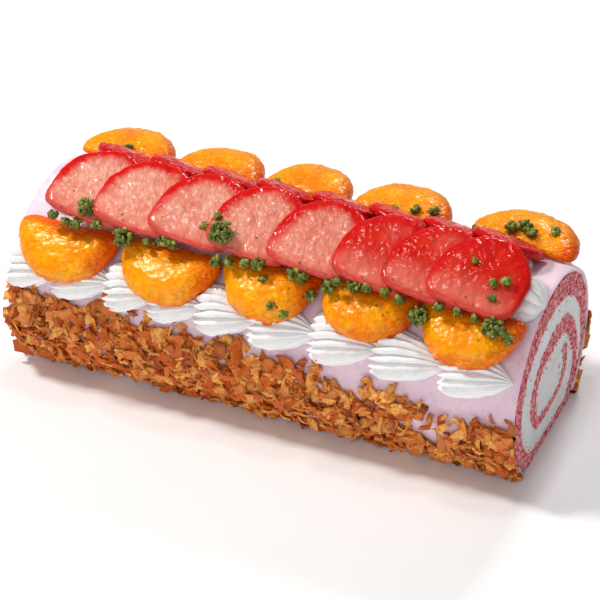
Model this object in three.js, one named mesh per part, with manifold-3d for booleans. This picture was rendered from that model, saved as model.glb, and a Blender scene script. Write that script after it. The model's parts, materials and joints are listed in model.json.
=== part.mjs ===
// A swiss roll cake with icing, wafer flakes, piped cream, mandarin segments and strawberry slices.
// Millimetres. X runs along the roll, -Y is the front, Z is up, the origin is under the roll's middle.
import * as THREE from "three";
import { mergeVertices } from "three/addons/utils/BufferGeometryUtils.js";
import Module from "manifold-3d";

const wasm = await Module();
wasm.setup();

// Driving dimensions of the roll
const ROLL_LENGTH = 180;
const AXIS_HEIGHT = 25.5;
const SPONGE_HALF_WIDTH = 35;
const SPONGE_HALF_HEIGHT = 31.5;
const COAT_THICKNESS = 2;
const GAP = 0.3;

// The rolled sheet: depths below the roll's outer face, positions in turns from the outer end
const SHEET_THICKNESS = 6.5;
const INNER_SHEET_THICKNESS = 5.2;
const SHEET_START_ANGLE = -50;
const SHEET_TAPER_TURNS = 0.17;
const SHEET_FIRST_TURN = 0.03;
const SHEET_TURNS = 2.17;
const FILLING_FIRST_TURN = 0.07;
const DIVE_DEPTH = 9.5;
const DEPTH_PER_TURN = 8.5;
const SAG = 0.25;
const INNER_ROUNDNESS = 0.5;
const ROUNDED_FROM_DEPTH = 12;
const CORE_END = { pastTurns: 0.02, shares: [0.85, 0.15] };
const SPIRAL_STEPS_PER_TURN = 40;

// The icing coat runs from foot to foot over the top
const COAT_FROM_ANGLE = -43.5;
const COAT_TO_ANGLE = 223.5;
const COAT_STEPS = 30;

// Crushed wafer flakes on the lower half of each side
const FLAKE_ROWS = [5, 13, 21, 29];
const FLAKES_PER_ROW = 10;
const FLAKE_LENGTH = [7, 10];
const FLAKE_WIDTH = [4.5, 7];
const FLAKE_THICKNESS = 0.9;
const FLAKE_CURL = [0.8, 1.8];
const FLAKE_JAG = { length: 0.22, width: 0.3 };
const FLAKE_TILT = { x: 1.2, y: 0.9 };
const FLAKE_SHIFT = { along: 0.5, up: 3 };
const FLAKE_END_MARGIN = 3;
const FLAKE_SINK = 0.95;
const FLAKE_FLOOR_CLEARANCE = 0.5;
const FLAKE_OVERHANG = 0.8;
const STRAY_FLAKES = [
  { x: 48, height: 36.5, side: -1 },
  { x: -62, height: 34.5, side: -1 },
  { x: 86, height: 37, side: 1 },
];

// Piped shells along each shoulder: where each head starts, and where the last tail ends
const SHELL_HEADS = [-88, -71, -51, -35, -18, 1, 22, 43, 66];
const SHELL_END = 88;
const SHELL_RADIUS = 7.4;
const SHELL_CENTRE = { y: 33.2, z: 41 };
const SHELL_RIDGES = 7;
const SHELL_RIDGE_DEPTH = 0.16;
const SHORT_SHELL_SCALE = 0.9;
const FULL_SHELL_LENGTH = 20;
const SHELL_PROFILE = [[0, 0], [0.82, 0.03], [1, 0.24], [0.78, 0.58], [0.36, 0.86], [0, 1]];

// Two piped cords of cream along the top, under the strawberries
const RIDGES = {
  front: { from: -86, to: 90, y: -11.5, z: 57, radius: 7.4 },
  back: { from: -84, to: 80, y: 5, z: 55.8, radius: 6 },
};
const RIDGE_SWELLS = 5;
const RIDGE_SWELL_DEPTH = 0.09;
const RIDGE_FIRST_SWELL = 0.05;
const RIDGE_CAP = [[0, 0], [0.7, 0.008], [0.95, 0.025]];

// Mandarin segments
const MANDARIN_THICKNESS = 11;
const MANDARIN_TAPER = 0.34;
const MANDARIN_OUTER_SHARE = 0.62;
const MANDARIN_BOW = { set: 0.1, bend: 0.24 };
const MANDARIN_END_POWER = 0.8;
const MANDARIN_CROWN_POWER = 0.85;
const MANDARIN_UNDERSIDE = 0.6;
const FRONT_DEPTH = 21;
const BACK_DEPTH = 22;
const FRONT_MANDARINS = [
  { x: -68.8, y: -33.4, z: 49.6, length: 36.8, slope: 38, yaw: 2 },
  { x: -31.8, y: -33, z: 49.8, length: 36, slope: 38, yaw: -2 },
  { x: 3.5, y: -31.4, z: 51.6, length: 33.4, slope: 35, yaw: 2 },
  { x: 37.2, y: -30.2, z: 52.4, length: 33.4, slope: 32, yaw: -1 },
  { x: 71.3, y: -30.7, z: 52.1, length: 34.2, slope: 33, yaw: -3 },
].map((place) => ({ ...place, depth: FRONT_DEPTH }));
const BACK_MANDARINS = [
  { x: -75, y: 29.8, z: 54.2, length: 34, slope: 9, yaw: 3 },
  { x: -39.7, y: 29.8, z: 54.2, length: 32.5, slope: 9, yaw: -2 },
  { x: -7, y: 29.8, z: 55.3, length: 31.5, slope: 9, yaw: 2 },
  { x: 27.7, y: 29.8, z: 55.5, length: 34.5, slope: 8, yaw: 0 },
  { x: 71.5, y: 29.8, z: 55.5, length: 37, slope: 8, yaw: -7, bank: 2 },
].map((place) => ({ ...place, depth: BACK_DEPTH }));

// Strawberry slices shingled along the ridge, each one over the slice on its left
const SLICE_WIDTH = 30;
const SLICE_HEIGHT = 30.5;
const SLICE_THICKNESS = 2.7;
const SLICE_ROUNDING = 0.6;
const SLICE_STEPS = 16;
const SLICE_TAPER = 0.08;
const SLICE_STEM_POWER = 0.5;
const SLICE_SLANT = 0.1;
const FRONT_SLICES = { y: -17.9, z: 68, lean: 20.5, tilt: 12.5, scale: { across: 1, along: 1 } };
const FRONT_SLICE_PLACES = [-62.5, -45.3, -24.8, -4.3, 17.2, 39.2, 56.2, 71.2];
const BACK_SLICES = { y: 8, z: 64.6, lean: 29, tilt: 9.8, scale: { across: 0.8, along: 0.73 } };
const BACK_SLICE_PLACES = [-65, -45, -25.5, -6, 14, 34, 53, 70];

// Chopped green nuts in clumps of crumbs: place along and across the host, then how many crumbs
const CRUMB_RADIUS = [0.9, 1.5];
const CRUMB_SQUASH = [0.7, 1.2];
const CRUMB_SINK = 0.35;
const CLUMP_SPREAD = 1.6;
const CLUMPS = {
  mandarin_front_1: [[6.5, -7, 3], [-3, -7, 1]],
  mandarin_front_2: [[-11, -4, 2], [5, -6, 2]],
  mandarin_front_3: [[-12.5, -3, 3], [-3, -4, 1], [11, -3, 2]],
  mandarin_front_4: [[-8, -4, 2], [2, -2, 2], [9, -3, 1]],
  mandarin_front_5: [[-13, -3, 3], [-5, -3, 1], [10, -3, 3]],
  mandarin_back_1: [[-1, -3, 1]],
  mandarin_back_2: [[11, -2, 1]],
  mandarin_back_3: [[-11, -3, 2]],
  mandarin_back_4: [[-1, -3, 1], [7, -3, 2]],
  mandarin_back_5: [[-4, -4, 2], [1, -3, 2], [9, 0, 1]],
  strawberry_front_3: [[2, 0, 1], [3, -7, 1]],
  strawberry_front_8: [[1, 8, 1], [7, -3, 2]],
  shell_front_6: [[13, -38.6, 1]],
};

const SEED = 41;
const MERGE_DISTANCE = 1e-4;
const FULL_TURN = 2 * Math.PI;
const radians = THREE.MathUtils.degToRad;
const lerp = THREE.MathUtils.lerp;

// Local X, Y and Z of a profile drawn across the roll become Y, Z and X of the cake
const ACROSS = new THREE.Matrix4().makeBasis(
  new THREE.Vector3(0, 1, 0),
  new THREE.Vector3(0, 0, 1),
  new THREE.Vector3(1, 0, 0),
);

// A seeded draw between 0 and 1, so that each build is the same
function seededRandom(seed) {
  let state = seed;
  return () => {
    state = (state + 0x6d2b79f5) | 0;
    let mixed = Math.imul(state ^ (state >>> 15), 1 | state);
    mixed = (mixed + Math.imul(mixed ^ (mixed >>> 7), 61 | mixed)) ^ mixed;
    return ((mixed ^ (mixed >>> 14)) >>> 0) / 4294967296;
  };
}
const random = seededRandom(SEED);
const between = ([low, high]) => lerp(low, high, random());

function food(colour, roughness) {
  return new THREE.MeshStandardMaterial({ color: colour, roughness, metalness: 0 });
}
const LOOKS = {
  sponge: food(0xd9727e, 0.9),
  filling: food(0xf1ecec, 0.55),
  coat: food(0xe2c3d8, 0.5),
  cream: food(0xf7f5f3, 0.5),
  mandarin: food(0xf59a1c, 0.3),
  strawberry: food(0xdf3b33, 0.25),
};

const cake = new THREE.Group();
cake.name = "swiss_roll_cake";

function addPiece(name, geometry, material) {
  const mesh = new THREE.Mesh(geometry, material.clone());
  mesh.name = name;
  cake.add(mesh);
  return mesh;
}

// A closed geometry as a solid that can be joined and cut
function solidFrom(geometry) {
  const bare = geometry.clone();
  bare.deleteAttribute("normal");
  bare.deleteAttribute("uv");
  const merged = mergeVertices(bare, MERGE_DISTANCE);
  return new wasm.Manifold(
    new wasm.Mesh({
      numProp: 3,
      vertProperties: merged.attributes.position.array,
      triVerts: merged.index.array,
    }),
  );
}

function geometryFrom(solid) {
  const mesh = solid.getMesh();
  const geometry = new THREE.BufferGeometry();
  geometry.setAttribute("position", new THREE.BufferAttribute(mesh.vertProperties, 3));
  geometry.setIndex(new THREE.BufferAttribute(mesh.triVerts, 1));
  geometry.computeVertexNormals();
  return geometry;
}

// Keeps the largest body of a solid, so that no loose scrap is left by a cut
function largestBody(solid) {
  const bodies = solid.decompose();
  return bodies.reduce((best, body) => (body.volume() > best.volume() ? body : best));
}

// Moves every vertex of a geometry by a rule
function reshape(geometry, rule) {
  const position = geometry.attributes.position;
  const point = new THREE.Vector3();
  for (let i = 0; i < position.count; i++) {
    point.fromBufferAttribute(position, i);
    rule(point);
    position.setXYZ(i, point.x, point.y, point.z);
  }
  return geometry;
}

// A copy of a placed geometry, larger on every side by a margin, for cutting what it presses into
function grown(geometry, margin) {
  geometry.computeBoundingBox();
  const size = geometry.boundingBox.getSize(new THREE.Vector3());
  const centre = geometry.boundingBox.getCenter(new THREE.Vector3());
  const wider = geometry.clone().translate(-centre.x, -centre.y, -centre.z);
  wider.scale(1 + (2 * margin) / size.x, 1 + (2 * margin) / size.y, 1 + (2 * margin) / size.z);
  return wider.translate(centre.x, centre.y, centre.z);
}

// Distance from the roll's axis to the full oval, and to the sponge's outer face with its flat foot
function ovalRadius(angle) {
  return 1 / Math.hypot(Math.cos(angle) / SPONGE_HALF_WIDTH, Math.sin(angle) / SPONGE_HALF_HEIGHT);
}
function spongeRadius(angle) {
  const foot = Math.sin(angle) < 0 ? AXIS_HEIGHT / -Math.sin(angle) : Infinity;
  return Math.min(ovalRadius(angle), foot);
}

function sectionPoint(angle, radius) {
  return new THREE.Vector2(radius * Math.cos(angle), AXIS_HEIGHT + radius * Math.sin(angle));
}

// A point of the rolled sheet: the layers sag towards the foot and grow rounder inside
function sheetPoint(turns, depth, margin = 0) {
  const angle = radians(SHEET_START_ANGLE) + FULL_TURN * turns;
  const roundness = INNER_ROUNDNESS * Math.min(1, depth / ROUNDED_FROM_DEPTH);
  const outer = lerp(spongeRadius(angle), ovalRadius(angle), roundness);
  return sectionPoint(angle, outer - depth * (1 + SAG * Math.sin(angle)) - margin);
}

function sheetDepth(turns) {
  const past = Math.max(0, turns - 1);
  return DIVE_DEPTH * THREE.MathUtils.smoothstep(past, 0, SHEET_TAPER_TURNS) + DEPTH_PER_TURN * past;
}

function sheetThickness(turns) {
  const full = lerp(SHEET_THICKNESS, INNER_SHEET_THICKNESS, Math.min(1, Math.max(0, turns - 1)));
  return full * THREE.MathUtils.smoothstep(turns, 0, SHEET_TAPER_TURNS);
}

function turnSamples(from, to) {
  const steps = Math.round((to - from) * SPIRAL_STEPS_PER_TURN);
  return Array.from({ length: steps + 1 }, (_, i) => lerp(from, to, i / steps));
}

function extrudeAcross(outline, length) {
  const geometry = new THREE.ExtrudeGeometry(new THREE.Shape(outline), {
    depth: length,
    bevelEnabled: false,
  });
  return geometry.translate(0, 0, -length / 2).applyMatrix4(ACROSS);
}

// The sponge sheet rolled up from its tapered outer end, with one flat under the roll
function spongeGeometry() {
  const turns = turnSamples(SHEET_FIRST_TURN, SHEET_TURNS);
  const outer = turns.map((turn) => sheetPoint(turn, sheetDepth(turn)));
  const inner = turns.map((turn) => sheetPoint(turn, sheetDepth(turn) + sheetThickness(turn)));
  const onFoot = (point) => Math.abs(point.y) < MERGE_DISTANCE;
  const face = outer.filter(
    (point, i) => !(onFoot(point) && i > 0 && onFoot(outer[i - 1]) && onFoot(outer[i + 1])),
  );
  return extrudeAcross([...face, ...inner.reverse()], ROLL_LENGTH);
}

// Cream between the turns of the sheet, and the core that it ends in
function fillingGeometry() {
  const under = turnSamples(FILLING_FIRST_TURN, SHEET_TURNS).map((turn) =>
    sheetPoint(turn, sheetDepth(turn) + sheetThickness(turn), GAP),
  );
  const over = turnSamples(1 + FILLING_FIRST_TURN, SHEET_TURNS).map((turn) =>
    sheetPoint(turn, sheetDepth(turn), -GAP),
  );
  const pastEnd = SHEET_TURNS + CORE_END.pastTurns;
  const end = CORE_END.shares.map((share) =>
    sheetPoint(pastEnd, sheetDepth(SHEET_TURNS) + share * sheetThickness(SHEET_TURNS)),
  );
  return extrudeAcross([...under, ...end, ...over.reverse()], ROLL_LENGTH);
}

// The coat's outer face follows the sponge at an even distance
function coatPoint(angle, offset) {
  return sectionPoint(angle, spongeRadius(angle) + offset);
}

function coatGeometry() {
  const angles = Array.from({ length: COAT_STEPS + 1 }, (_, i) =>
    radians(lerp(COAT_FROM_ANGLE, COAT_TO_ANGLE, i / COAT_STEPS)),
  );
  const outer = angles.map((angle) => coatPoint(angle, GAP + COAT_THICKNESS));
  const inner = angles.map((angle) => coatPoint(angle, GAP));
  return extrudeAcross([...outer, ...inner.reverse()], ROLL_LENGTH);
}

// The whole roll out to a distance from its sponge, for cutting what lies on it
function rollGeometry(offset) {
  const steps = 2 * COAT_STEPS;
  const outline = Array.from({ length: steps }, (_, i) => coatPoint((FULL_TURN * i) / steps, offset));
  return extrudeAcross(outline, ROLL_LENGTH + 2 * SHELL_RADIUS);
}

// The angle at which the coated roll reaches a height on its right side
function angleAtHeight(height) {
  const up = (height - AXIS_HEIGHT) / (SPONGE_HALF_HEIGHT + COAT_THICKNESS);
  return Math.atan2(up * SPONGE_HALF_HEIGHT, Math.sqrt(1 - up * up) * SPONGE_HALF_WIDTH);
}

// A thin curled plate that stands in the coat at a random slant
function flakeGeometry(x, height, side) {
  const length = between(FLAKE_LENGTH);
  const width = between(FLAKE_WIDTH);
  const geometry = new THREE.BoxGeometry(length, width, FLAKE_THICKNESS, 2, 1, 1);
  geometry.deleteAttribute("normal");
  geometry.deleteAttribute("uv");
  const flake = mergeVertices(geometry, MERGE_DISTANCE);
  const curl = between(FLAKE_CURL);
  reshape(flake, (point) => {
    point.x += (random() - 0.5) * FLAKE_JAG.length * length;
    point.y += (random() - 0.5) * FLAKE_JAG.width * width;
    point.z += curl * (1 - (2 * point.x / length) ** 2);
  });
  flake.rotateX((random() - 0.5) * FLAKE_TILT.x);
  flake.rotateY((random() - 0.5) * FLAKE_TILT.y);
  flake.rotateZ(random() * FULL_TURN);
  flake.computeBoundingBox();
  flake.translate(0, 0, -flake.boundingBox.min.z - FLAKE_SINK);
  const right = angleAtHeight(height);
  const angle = side > 0 ? right : Math.PI - right;
  const foot = coatPoint(angle, GAP + COAT_THICKNESS);
  const outward = Math.atan2(
    Math.sin(angle) / SPONGE_HALF_HEIGHT,
    Math.cos(angle) / SPONGE_HALF_WIDTH,
  );
  flake.rotateX(-(Math.PI / 2 - outward));
  flake.translate(x, foot.x, foot.y);
  flake.computeBoundingBox();
  const { min, max } = flake.boundingBox;
  const end = ROLL_LENGTH / 2 + FLAKE_OVERHANG;
  const inward = Math.max(0, -end - min.x) - Math.max(0, max.x - end);
  return flake.translate(inward, 0, Math.max(0, FLAKE_FLOOR_CLEARANCE - min.z));
}

function flakeGeometries() {
  const pitch = ROLL_LENGTH / FLAKES_PER_ROW;
  const flakes = [];
  for (const side of [-1, 1]) {
    FLAKE_ROWS.forEach((height, row) => {
      for (let i = 0; i < FLAKES_PER_ROW; i++) {
        const along = i + 0.25 + 0.5 * (row % 2) + (random() - 0.5) * FLAKE_SHIFT.along;
        const x = Math.min(along * pitch, ROLL_LENGTH - FLAKE_END_MARGIN) - ROLL_LENGTH / 2;
        flakes.push(flakeGeometry(x, height + (random() - 0.5) * FLAKE_SHIFT.up, side));
      }
    });
  }
  for (const stray of STRAY_FLAKES) flakes.push(flakeGeometry(stray.x, stray.height, stray.side));
  return flakes;
}

// A ridged body turned about X: profile pairs give its radius and its place along, both as shares
function ridgedGeometry(profile, radius, length, ridges, ridgeDepth) {
  const points = profile.map(([out, along]) => new THREE.Vector2(out * radius, along * length));
  const geometry = new THREE.LatheGeometry(points, 2 * ridges);
  reshape(geometry, (point) => {
    const around = Math.atan2(point.x, point.z);
    const swell = 1 + ridgeDepth * Math.cos(ridges * around);
    point.x *= swell;
    point.z *= swell;
  });
  return geometry.rotateZ(-Math.PI / 2);
}

function shellGeometry(index, side) {
  const start = SHELL_HEADS[index];
  const end = index + 1 < SHELL_HEADS.length ? SHELL_HEADS[index + 1] - GAP : SHELL_END;
  const length = end - start;
  const radius = SHELL_RADIUS * lerp(SHORT_SHELL_SCALE, 1, Math.min(1, length / FULL_SHELL_LENGTH));
  const geometry = ridgedGeometry(SHELL_PROFILE, radius, length, SHELL_RIDGES, SHELL_RIDGE_DEPTH);
  return geometry.translate(start, side * SHELL_CENTRE.y, SHELL_CENTRE.z);
}

function ridgeGeometry({ from, to, y, z, radius }) {
  const swells = Array.from({ length: 2 * RIDGE_SWELLS - 1 }, (_, i) => [
    1 - RIDGE_SWELL_DEPTH * (i % 2),
    lerp(RIDGE_FIRST_SWELL, 1 - RIDGE_FIRST_SWELL, i / (2 * RIDGE_SWELLS - 2)),
  ]);
  const farCap = RIDGE_CAP.map(([out, along]) => [out, 1 - along]).reverse();
  const profile = [...RIDGE_CAP, ...swells, ...farCap];
  const geometry = ridgedGeometry(profile, radius, to - from, SHELL_RIDGES, SHELL_RIDGE_DEPTH);
  return geometry.translate(from, y, z);
}

// Keeps a value's sign while it raises its size to a power
function signedPower(value, power) {
  return Math.sign(value) * Math.abs(value) ** power;
}

// A segment lying on its side: +Y is its thick round edge, -Y its thin straight one
function mandarinGeometry(length, depth) {
  const geometry = new THREE.SphereGeometry(1, 12, 8).rotateZ(Math.PI / 2);
  return reshape(geometry, (point) => {
    const along = point.x;
    const thickness = MANDARIN_THICKNESS * (1 + MANDARIN_TAPER * point.y);
    point.x = (length / 2) * signedPower(along, MANDARIN_END_POWER);
    point.y *= depth * (point.y > 0 ? MANDARIN_OUTER_SHARE : 1 - MANDARIN_OUTER_SHARE);
    point.y -= depth * (MANDARIN_BOW.set + MANDARIN_BOW.bend * along * along);
    const flattened = point.z < 0 ? MANDARIN_UNDERSIDE : 1;
    point.z = (thickness / 2) * signedPower(point.z, MANDARIN_CROWN_POWER) * flattened;
  });
}

// A strawberry cut lengthwise: broad stem end below, narrower tip above and to the right
function sliceGeometry() {
  const outline = new THREE.Shape();
  for (let i = 0; i < SLICE_STEPS; i++) {
    const around = (FULL_TURN * i) / SLICE_STEPS;
    const height = Math.cos(around);
    const across = signedPower(Math.sin(around), height > 0 ? 1 : SLICE_STEM_POWER);
    const y = signedPower(height, height > 0 ? 1 : SLICE_STEM_POWER) * (SLICE_HEIGHT / 2 - SLICE_ROUNDING);
    const wide = across * (1 - SLICE_TAPER * height) * (SLICE_WIDTH / 2 - SLICE_ROUNDING);
    const x = wide + SLICE_SLANT * y;
    if (i === 0) outline.moveTo(x, y);
    else outline.lineTo(x, y);
  }
  const geometry = new THREE.ExtrudeGeometry(outline, {
    depth: SLICE_THICKNESS - 2 * SLICE_ROUNDING,
    bevelSize: SLICE_ROUNDING,
    bevelThickness: SLICE_ROUNDING,
    bevelSegments: 1,
  });
  return geometry.translate(0, 0, SLICE_ROUNDING - SLICE_THICKNESS / 2);
}

function crumbGeometry(x, y, z) {
  const radius = between(CRUMB_RADIUS);
  const crumb = new THREE.IcosahedronGeometry(radius, 0);
  crumb.scale(1, between(CRUMB_SQUASH), between(CRUMB_SQUASH));
  crumb.rotateX(random() * FULL_TURN).rotateZ(random() * FULL_TURN);
  return crumb.translate(x, y, z + radius * (1 - CRUMB_SINK));
}

// The height of a host's upper face over a point of its own XY plane
const RAY_HEIGHT = 100;
const ray = new THREE.Raycaster();
const DOWN = new THREE.Vector3(0, 0, -1);
function topOf(geometry, x, y) {
  const target = new THREE.Mesh(geometry, new THREE.MeshBasicMaterial());
  ray.set(new THREE.Vector3(x, y, RAY_HEIGHT), DOWN);
  const hits = ray.intersectObject(target);
  return hits.length ? hits[0].point.z : null;
}

// Joins a host's clumps to it, each crumb on the host's upper face
function withClumps(name, geometry, flip = 1) {
  let solid = solidFrom(geometry);
  for (const [clumpX, clumpY, crumbs] of CLUMPS[name] ?? []) {
    for (let i = 0; i < crumbs; i++) {
      const around = (FULL_TURN * (i + random())) / crumbs;
      const x = flip * clumpX + CLUMP_SPREAD * Math.cos(around);
      const y = clumpY + CLUMP_SPREAD * Math.sin(around);
      const top = topOf(geometry, x, y);
      if (top !== null) solid = solid.add(solidFrom(crumbGeometry(x, y, top)));
    }
  }
  return geometryFrom(largestBody(solid));
}

function addMandarin(name, { x, y, z, length, depth, slope, yaw, bank = 0 }, turn) {
  const geometry = withClumps(name, mandarinGeometry(length, depth), turn ? -1 : 1);
  const mesh = addPiece(name, geometry, LOOKS.mandarin);
  mesh.rotation.set(radians(-slope), radians(bank), turn + radians(yaw), "ZXY");
  mesh.position.set(x, y, z);
  return mesh;
}

function addSlice(name, x, row, turn) {
  const geometry = withClumps(name, sliceGeometry().scale(row.scale.across, row.scale.along, 1));
  const mesh = addPiece(name, geometry, LOOKS.strawberry);
  mesh.rotation.set(radians(row.lean), radians(turn ? -row.tilt : row.tilt), turn, "ZXY");
  mesh.position.set(x, row.y, row.z);
  return mesh;
}

// A mesh's shape where it lies, slightly grown, for cutting softer pieces clear of it
function clearanceOf(mesh) {
  mesh.updateMatrixWorld(true);
  return solidFrom(grown(mesh.geometry, GAP).applyMatrix4(mesh.matrixWorld));
}

// The rolled sheet and the cream in it
addPiece("sponge", spongeGeometry(), LOOKS.sponge);
addPiece("cream_filling", fillingGeometry(), LOOKS.filling);

// Fruit
const fruit = [];
FRONT_MANDARINS.forEach((place, i) =>
  fruit.push(addMandarin("mandarin_front_" + (i + 1), place, Math.PI)),
);
BACK_MANDARINS.forEach((place, i) =>
  fruit.push(addMandarin("mandarin_back_" + (i + 1), place, 0)),
);
FRONT_SLICE_PLACES.forEach((x, i) =>
  fruit.push(addSlice("strawberry_front_" + (i + 1), x, FRONT_SLICES, 0)),
);
BACK_SLICE_PLACES.forEach((x, i) =>
  fruit.push(addSlice("strawberry_back_" + (i + 1), x, BACK_SLICES, Math.PI)),
);

// Piped cream, cut clear of the coated roll and of the fruit pressed into it
const coatedRoll = solidFrom(rollGeometry(GAP + COAT_THICKNESS + GAP));
const pressing = fruit.map(clearanceOf);
function piped(geometry) {
  const pieces = pressing.reduce((solid, cutter) => solid.subtract(cutter), solidFrom(geometry));
  return largestBody(pieces.subtract(coatedRoll));
}
for (const [side, size] of Object.entries(RIDGES)) {
  addPiece("cream_ridge_" + side, geometryFrom(piped(ridgeGeometry(size))), LOOKS.cream);
}
const shells = [];
for (const [row, side] of [["front", -1], ["back", 1]]) {
  SHELL_HEADS.forEach((_, i) => {
    const name = "shell_" + row + "_" + (i + 1);
    const plain = shellGeometry(i, side);
    shells.push(plain);
    addPiece(name, withClumps(name, geometryFrom(piped(plain))), LOOKS.cream);
  });
}

// The icing with its flakes, which are cut clear of the sponge and the shells
const flakes = flakeGeometries()
  .map(solidFrom)
  .reduce((solid, flake) => solid.add(flake));
const trimmed = shells
  .map((shell) => solidFrom(grown(shell, GAP)))
  .reduce((solid, shell) => solid.subtract(shell), flakes.subtract(solidFrom(rollGeometry(GAP))));
const icing = largestBody(trimmed.add(solidFrom(coatGeometry())));
addPiece("icing", geometryFrom(icing), LOOKS.coat);

export default cake;
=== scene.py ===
"""A swiss roll cake with icing, wafer flakes, piped cream, mandarin segments and strawberry slices.

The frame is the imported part's: X along the roll, -Y the front, Z up. Shapes are worked out in
millimetres and written to the meshes in metres.
"""
import itertools
import json
import math

import bpy
import numpy as np
from mathutils import Matrix, Vector
from mathutils.bvhtree import BVHTree

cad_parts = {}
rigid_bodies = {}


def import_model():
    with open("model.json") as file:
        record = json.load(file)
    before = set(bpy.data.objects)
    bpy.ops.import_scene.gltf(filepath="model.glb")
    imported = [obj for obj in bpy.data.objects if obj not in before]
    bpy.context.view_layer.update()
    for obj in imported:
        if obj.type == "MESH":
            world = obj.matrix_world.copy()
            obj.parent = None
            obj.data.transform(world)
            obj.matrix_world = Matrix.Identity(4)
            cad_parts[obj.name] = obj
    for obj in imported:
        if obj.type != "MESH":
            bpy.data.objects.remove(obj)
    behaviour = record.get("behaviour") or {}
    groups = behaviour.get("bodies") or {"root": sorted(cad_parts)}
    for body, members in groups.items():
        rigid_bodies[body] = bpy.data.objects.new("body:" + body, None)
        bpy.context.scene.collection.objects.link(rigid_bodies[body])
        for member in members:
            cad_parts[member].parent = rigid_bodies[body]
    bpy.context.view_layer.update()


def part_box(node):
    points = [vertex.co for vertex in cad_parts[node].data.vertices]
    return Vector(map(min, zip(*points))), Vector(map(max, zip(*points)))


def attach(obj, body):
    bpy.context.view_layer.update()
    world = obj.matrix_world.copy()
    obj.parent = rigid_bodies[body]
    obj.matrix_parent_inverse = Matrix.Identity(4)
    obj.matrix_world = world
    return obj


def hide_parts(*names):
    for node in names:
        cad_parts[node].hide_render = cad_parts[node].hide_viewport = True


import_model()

bl_info = {
    "name": "Swiss roll cake",
    "version": (1, 0, 0),
    "blender": (4, 5, 0),
    "location": "3D View > Sidebar > Cake",
    "description": "Builds a swiss roll cake with fruit, cream and wafer flakes",
    "category": "Object",
}

MM = 0.001
TAU = 2 * math.pi
BODY = "root"
SIDES = {"front": -1, "back": 1}

# The roll, in millimetres and in turns of the rolled sheet, as the part's source has it
AXIS_HEIGHT = 25.5
HALF_WIDTH = 35.0
HALF_HEIGHT = 31.5
GAP = 0.3
SHEET_THICKNESS = (6.5, 5.2)
SHEET_START = math.radians(-50)
SHEET_TAPER = 0.17
SHEET_SPAN = (0.03, 2.17)
FILLING_FROM = 0.07
DIVE_DEPTH = 9.5
DEPTH_PER_TURN = 8.5
SAG = 0.25
ROUNDED_FROM_DEPTH = 12.0
COAT_SPAN = (math.radians(-43.5), math.radians(223.5))

# The two cut ends, in millimetres: step and rows of each layer's mesh, pores and bubbles, how far
# the layers' edges waver, and how far the layers lie back
SPONGE_MESH = (0.42, 15)
FILLING_MESH = (0.6, 12)
PORE_SPACING = 1.5
FINE_PORE_SPACING = 0.8
PORE_DEPTH = 0.75
SPONGE_SET_BACK = 0.15
SPONGE_WAVER = 0.42
SPONGE_WAVER_LENGTH = 1.7
BUBBLE_SPACING = 3.4
BUBBLE_DEPTH = 0.5
FILLING_SET_BACK = 0.3
FILLING_SMEAR = 0.16
LAYER_OVERLAP = 0.3

# Loose crumbs on the cream: how many, their radii, how far they stray and how deep they sit
CRUMB_COUNT = 150
CRUMB_RADII = (0.12, 0.32)
CRUMB_STRAY = 1.5
CRUMB_FARTHEST = 6
CRUMB_SUNK = 0.25

# The icing: share by which its rows crowd towards the ends, its rounded edge, and its waves
ICING_MESH = 150
ICING_CROWDING = 0.2
ICING_EDGE = 1.2
ICING_EDGE_DROP = 0.5
ICING_WAVE = 0.25
ICING_WAVE_LENGTH = 9
ICING_RIPPLE = 0.08
ICING_RIPPLE_LENGTH = 2.2
ICING_SUNK = 0.15
ICING_FOOT = 0.05

# The band of wafer flakes: its top at the left end and how it falls along the roll, its foot, the
# share of flakes above it, and its bare patches
BAND_TOP = 33.5
BAND_FALL = 0.047
BAND_FOOT = 0.8
STRAY_SHARE = 0.04
STRAY_RISE = 5
STRAY_TOP = 37
BARE_PATCH_WIDTH = 9
BARE_SHARE = 0.8

# One wafer flake
SHORTEST_FLAKE = 2.4
FLAKE_LENGTH_SPREAD = (1.2, 2.1)
FLAKE_SLIMNESS = (0.32, 0.8)
FLAKE_THICKNESS = (0.35, 0.7)
FLAKE_RAGGEDNESS = 0.085
FLAKE_RIPPLE = 0.05
FLAKE_BEND = (-0.4, 0.9)
FLAKE_TILT = math.degrees(0.42)
FLAKE_LIFT = 1.7
FLAKE_SUNK = 0.6
FLAKE_REACH = 4.2
FLAKE_OVERHANG = 0.8
FLAKE_FLOOR = 0.25

# Piped cream: places, profiles of radius and place from head to tail, and the nozzle's ridges
SHELL_HEADS = (-88, -71, -51, -35, -18, 1, 22, 43, 66)
SHELL_END = 88
SHELL_AT = (33.2, 41.0)
SHELL_PROFILE = ((0, 0), (0.55, 0.015), (0.86, 0.035), (1, 0.14), (1, 0.3), (0.8, 0.56),
                 (0.56, 0.76), (0.3, 0.9), (0, 1))
SHELL_MESH = (132, 60)
SHELL_RIDGE_DEPTH = 0.17
SHELL_TWIST = 0.8
SHELL_TOOTH = 3.4
CORD_PROFILE = ((0, 0), (0.7, 0.008), (0.95, 0.025), (1, 0.06), (0.92, 0.2), (1, 0.35), (0.92, 0.5),
                (1, 0.65), (0.92, 0.8), (1, 0.94), (0.95, 0.975), (0.7, 0.992), (0, 1))
CORD_MESH = (100, 240)
CORD_RIDGES = 10
CORD_RIDGE_DEPTH = 0.15
CORD_TWIST = 1.5
CORD_TOOTH = 0.3
RIDGE_POWER = 0.8
RIDGE_WANDER = 0.25
CREAM_UNEVENNESS = 0.28
TOOTH_OVERHANG = 2.6
CREAM_OVER_SPONGE = 1.2

# Each cord's start, end, y, z and radius
CORDS = {"front": (-86, 90, -11.5, 57, 7.4), "back": (-84, 80, 5, 55.8, 6)}

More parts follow.
